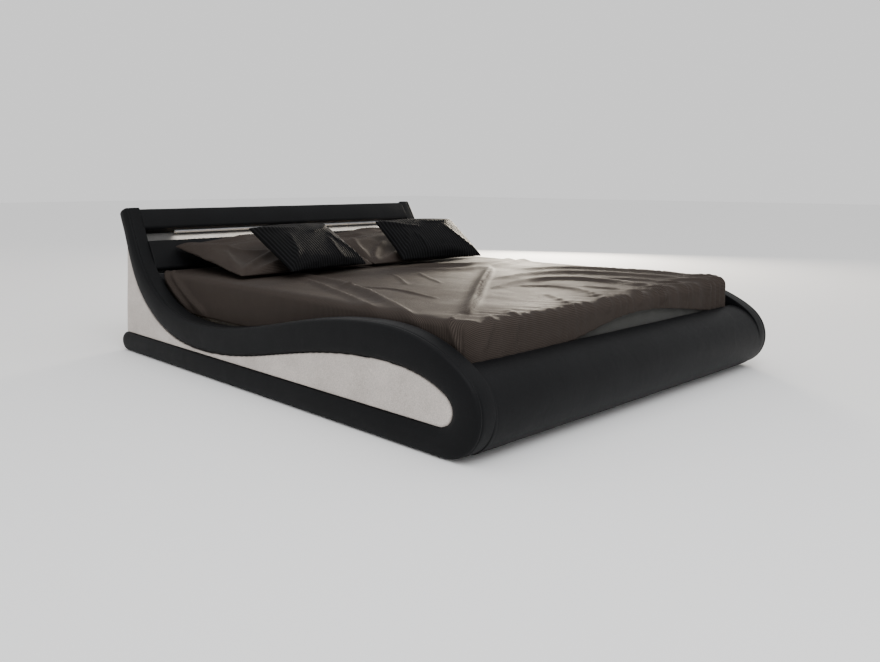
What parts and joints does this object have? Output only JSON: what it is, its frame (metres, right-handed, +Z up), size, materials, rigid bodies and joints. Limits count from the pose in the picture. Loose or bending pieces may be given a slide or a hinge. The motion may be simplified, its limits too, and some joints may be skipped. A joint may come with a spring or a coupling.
{
  "type": "sleigh bed",
  "caption": "Low sleigh bed with padded wave-shaped sides, a rounded foot roll, a leaning headboard with a lit slot, slats, mattress, pillows and cushions.",
  "frame": {"origin": "on the floor, at the middle of the bed's outline seen from above", "axes": "+Z up, +Y from the foot towards the headboard, +X to the right for someone standing at the foot and looking at the headboard"},
  "size_m": [2.02, 2.3863, 0.716],
  "materials": {
    "band_leather": "satin",
    "panel_leather": "satin",
    "slot_lining": "matte",
    "plywood": "matte",
    "timber": "matte",
    "slat_pine": "satin",
    "rear_cloth": "matte",
    "light_channel": "satin",
    "light_strip": "gloss",
    "light_diffuser": "satin",
    "driver_case": "matte",
    "black_plastic": "matte",
    "button_plastic": "satin",
    "leg_steel": "satin",
    "bracket_steel": "satin",
    "bolt_steel": "satin",
    "slat_tape": "matte",
    "glide_felt": "matte",
    "mattress_cloth": "satin",
    "bed_cloth": "satin",
    "cushion_cloth": "matte"
  },
  "bodies": {
    "bed_frame": {"bracket_bolts": "bolt_steel", "centre_beam": "timber", "centre_leg_foot": "leg_steel", "centre_leg_head": "leg_steel", "centre_leg_middle": "leg_steel", "corner_brackets": "bracket_steel", "floor_glides": "glide_felt", "foot_board": "rear_cloth", "foot_cover": "band_leather", "foot_ribs": "plywood", "foot_shell": "plywood", "head_backing_board": "slot_lining", "head_batten": "timber", "head_board": "rear_cloth", "head_former_centre": "plywood", "head_former_left": "plywood", "head_former_right": "plywood", "head_lower_board": "rear_cloth", "head_lower_pad": "band_leather", "head_rail_core": "timber", "head_rail_cover": "band_leather", "head_rear_cover_lower": "rear_cloth", "head_rear_cover_upper": "rear_cloth", "led_channel_left": "light_channel", "led_channel_right": "light_channel", "led_diffuser_left": "light_diffuser", "led_diffuser_right": "light_diffuser", "led_driver": "driver_case", "led_strip_left": "light_strip", "led_strip_right": "light_strip", "power_inlet": "black_plastic", "side_core_left": "rear_cloth", "side_core_right": "rear_cloth", "side_panel_left": "panel_leather", "side_panel_right": "panel_leather", "side_surround_left": "band_leather", "side_surround_right": "band_leather", "slat_01": "slat_pine", "slat_02": "slat_pine", "slat_03": "slat_pine", "slat_04": "slat_pine", "slat_05": "slat_pine", "slat_06": "slat_pine", "slat_07": "slat_pine", "slat_08": "slat_pine", "slat_09": "slat_pine", "slat_10": "slat_pine", "slat_11": "slat_pine", "slat_tapes": "slat_tape", "support_rail_left": "timber", "support_rail_right": "timber", "switch_housing": "black_plastic"},
    "light_switch": {"switch_button": "button_plastic"},
    "mattress_set": {"mattress": "mattress_cloth", "mattress_cover": "bed_cloth"},
    "left_pillow": {"pillow_left": "bed_cloth"},
    "right_pillow": {"pillow_right": "bed_cloth"},
    "left_cushion": {"cushion_left": "cushion_cloth"},
    "right_cushion": {"cushion_right": "cushion_cloth"}
  },
  "joints": [
    {"name": "switch_press", "type": "slide", "parent": "bed_frame", "child": "light_switch", "axis": [0, 0.848, -0.5299], "range_m": [0, 0.002], "stiffness_N_per_m": 400, "springref_m": -0.001},
    {"name": "mattress_lift", "type": "slide", "parent": "bed_frame", "child": "mattress_set", "axis": [0, 0, 1], "range_m": [0, 0.12]},
    {"name": "left_pillow_lift", "type": "slide", "parent": "mattress_set", "child": "left_pillow", "axis": [0, 0, 1], "range_m": [0, 0.15]},
    {"name": "right_pillow_lift", "type": "slide", "parent": "mattress_set", "child": "right_pillow", "axis": [0, 0, 1], "range_m": [0, 0.15]},
    {"name": "left_cushion_lift", "type": "slide", "parent": "left_pillow", "child": "left_cushion", "axis": [0, 0, 1], "range_m": [0, 0.15]},
    {"name": "right_cushion_lift", "type": "slide", "parent": "right_pillow", "child": "right_cushion", "axis": [0, 0, 1], "range_m": [0, 0.15]}
  ]
}
